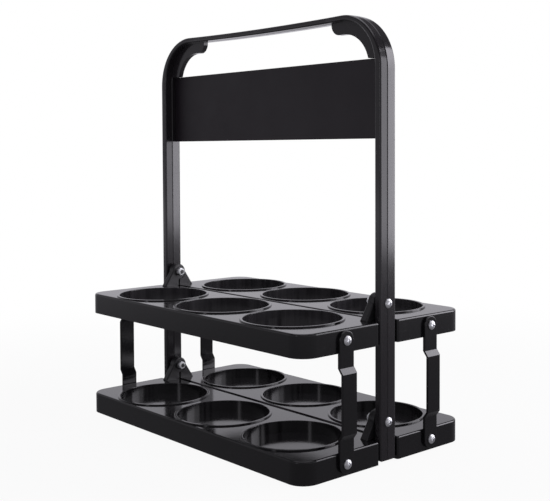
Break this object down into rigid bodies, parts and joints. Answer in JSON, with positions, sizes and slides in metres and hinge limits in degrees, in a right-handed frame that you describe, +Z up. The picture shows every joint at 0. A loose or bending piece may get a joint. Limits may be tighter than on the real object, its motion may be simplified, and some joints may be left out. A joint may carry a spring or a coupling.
{
  "type": "bottle carrier",
  "caption": "Folding bottle carrier: a tall U-shaped carry handle with a sign panel over split seat trays on link bars, whose halves swing up flat against the handle.",
  "frame": {"origin": "on the ground, under the middle of the carrier", "axes": "+X along the trays to the right end, +Y from the front to the rear, +Z up along the handle's legs"},
  "size_m": [0.3134, 0.18, 0.3516],
  "materials": {
    "handle_plastic": "glossy black moulding",
    "panel_plastic": "matte black sheet",
    "tray_plastic": "glossy black moulding",
    "link_plastic": "glossy black moulding",
    "fastener_steel": "bright zinc plating"
  },
  "bodies": {
    "handle": {"handle_frame": "handle_plastic", "sign_panel": "panel_plastic", "lower_left_pivot_screw": "fastener_steel", "lower_left_pivot_nut": "fastener_steel", "lower_right_pivot_screw": "fastener_steel", "lower_right_pivot_nut": "fastener_steel", "upper_left_pivot_screw": "fastener_steel", "upper_left_pivot_nut": "fastener_steel", "upper_right_pivot_screw": "fastener_steel", "upper_right_pivot_nut": "fastener_steel"},
    "lower_front_tray": {"lower_front_tray": "tray_plastic", "lower_front_floor_1": "tray_plastic", "lower_front_floor_2": "tray_plastic", "lower_front_floor_3": "tray_plastic", "lower_front_left_ear": "tray_plastic", "lower_front_right_ear": "tray_plastic", "lower_front_left_link_screw": "fastener_steel", "lower_front_right_link_screw": "fastener_steel"},
    "upper_front_tray": {"upper_front_tray": "tray_plastic", "upper_front_left_ear": "tray_plastic", "upper_front_right_ear": "tray_plastic", "upper_front_left_link_screw": "fastener_steel", "upper_front_right_link_screw": "fastener_steel"},
    "front_left_link": {"front_left_link": "link_plastic"},
    "front_right_link": {"front_right_link": "link_plastic"},
    "lower_rear_tray": {"lower_rear_tray": "tray_plastic", "lower_rear_floor_1": "tray_plastic", "lower_rear_floor_2": "tray_plastic", "lower_rear_floor_3": "tray_plastic", "lower_rear_left_ear": "tray_plastic", "lower_rear_right_ear": "tray_plastic", "lower_rear_left_link_screw": "fastener_steel", "lower_rear_right_link_screw": "fastener_steel"},
    "upper_rear_tray": {"upper_rear_tray": "tray_plastic", "upper_rear_left_ear": "tray_plastic", "upper_rear_right_ear": "tray_plastic", "upper_rear_left_link_screw": "fastener_steel", "upper_rear_right_link_screw": "fastener_steel"},
    "rear_left_link": {"rear_left_link": "link_plastic"},
    "rear_right_link": {"rear_right_link": "link_plastic"}
  },
  "joints": [
    {"name": "front_fold", "type": "hinge", "parent": "handle", "child": "lower_front_tray", "pos_m": [0, 0, 0.0318], "axis": [-1, 0, 0], "range_deg": [0, 90]},
    {"name": "front_upper_fold", "type": "hinge", "parent": "handle", "child": "upper_front_tray", "pos_m": [0, 0, 0.1248], "axis": [-1, 0, 0], "range_deg": [0, 90]},
    {"name": "front_left_link_swing", "type": "hinge", "parent": "lower_front_tray", "child": "front_left_link", "pos_m": [0, -0.0472, 0.0094], "axis": [1, 0, 0], "range_deg": [0, 90]},
    {"name": "front_right_link_swing", "type": "hinge", "parent": "lower_front_tray", "child": "front_right_link", "pos_m": [0, -0.0472, 0.0094], "axis": [1, 0, 0], "range_deg": [0, 90]},
    {"name": "rear_fold", "type": "hinge", "parent": "handle", "child": "lower_rear_tray", "pos_m": [0, 0, 0.0318], "axis": [1, 0, 0], "range_deg": [0, 90]},
    {"name": "rear_upper_fold", "type": "hinge", "parent": "handle", "child": "upper_rear_tray", "pos_m": [0, 0, 0.1248], "axis": [1, 0, 0], "range_deg": [0, 90]},
    {"name": "rear_left_link_swing", "type": "hinge", "parent": "lower_rear_tray", "child": "rear_left_link", "pos_m": [0, 0.0472, 0.0094], "axis": [-1, 0, 0], "range_deg": [0, 90]},
    {"name": "rear_right_link_swing", "type": "hinge", "parent": "lower_rear_tray", "child": "rear_right_link", "pos_m": [0, 0.0472, 0.0094], "axis": [-1, 0, 0], "range_deg": [0, 90]}
  ],
  "couplings": [
    {"joint": "front_upper_fold", "follows": "front_fold", "ratio": 1},
    {"joint": "front_left_link_swing", "follows": "front_fold", "ratio": 1},
    {"joint": "front_right_link_swing", "follows": "front_fold", "ratio": 1},
    {"joint": "rear_upper_fold", "follows": "rear_fold", "ratio": 1},
    {"joint": "rear_left_link_swing", "follows": "rear_fold", "ratio": 1},
    {"joint": "rear_right_link_swing", "follows": "rear_fold", "ratio": 1}
  ]
}
